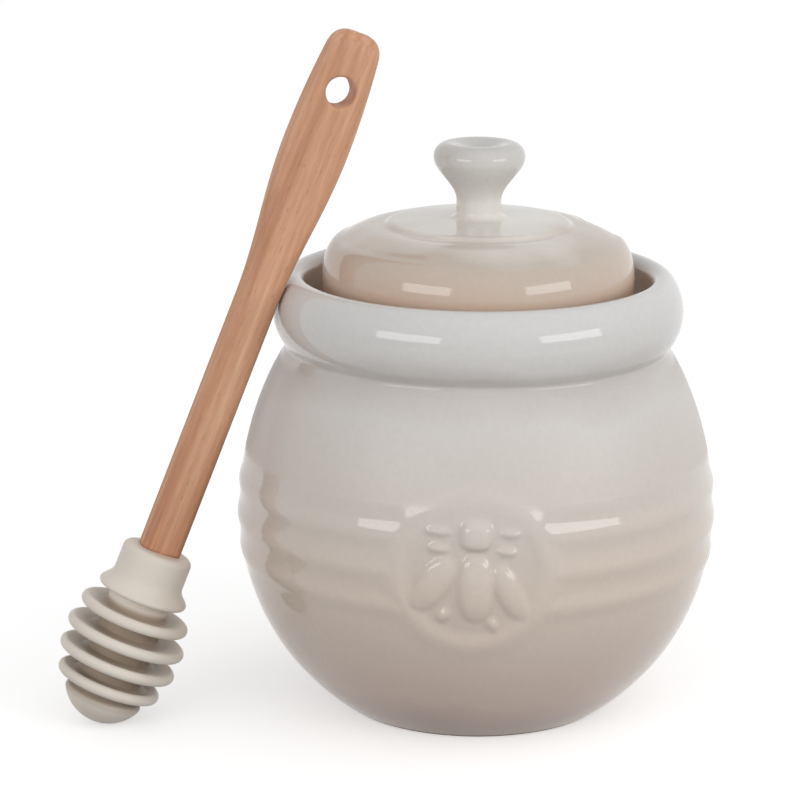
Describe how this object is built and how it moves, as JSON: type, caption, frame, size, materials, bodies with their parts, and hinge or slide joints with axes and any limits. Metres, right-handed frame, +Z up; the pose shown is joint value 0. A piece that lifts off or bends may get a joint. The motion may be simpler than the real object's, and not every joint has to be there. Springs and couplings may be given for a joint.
{
  "type": "honey pot with dipper",
  "caption": "Round-bellied stoneware honey pot with a rolled collar, a notched lift-off lid with a knob, and a dipper leaning on it.",
  "frame": {"origin": "on the pot's axis, in the plane that its foot ring rests on", "axes": "+Z up along the pot's axis, -Y towards the medallion on the belly, +X to the right as one faces the medallion; the dipper stands on the -X side"},
  "size_m": [0.1419, 0.1059, 0.1497],
  "materials": {
    "pot_glaze": "glossy glaze shading from pale grey at the collar to pinkish beige at the foot",
    "lid_glaze": "glossy glaze shading from pinkish beige at the rim to pale grey at the knob",
    "silicone": "soft matte",
    "beech": "satin, fine grain along the handle"
  },
  "bodies": {
    "pot": {"pot": "pot_glaze"},
    "lid": {"lid": "lid_glaze"},
    "head": {"dipper_head": "silicone"},
    "handle": {"dipper_handle": "beech"}
  },
  "joints": [
    {"name": "lid_lift", "type": "slide", "parent": "pot", "child": "lid", "axis": [0.3561, 0.1021, 0.9288], "range_m": [0, 0.07]},
    {"name": "dipper_lift", "type": "slide", "parent": "pot", "child": "head", "axis": [0, 0, 1], "range_m": [0, 0.13]},
    {"name": "handle_pull", "type": "slide", "parent": "head", "child": "handle", "axis": [0.3561, 0.1021, 0.9288], "range_m": [0, 0.03]}
  ]
}
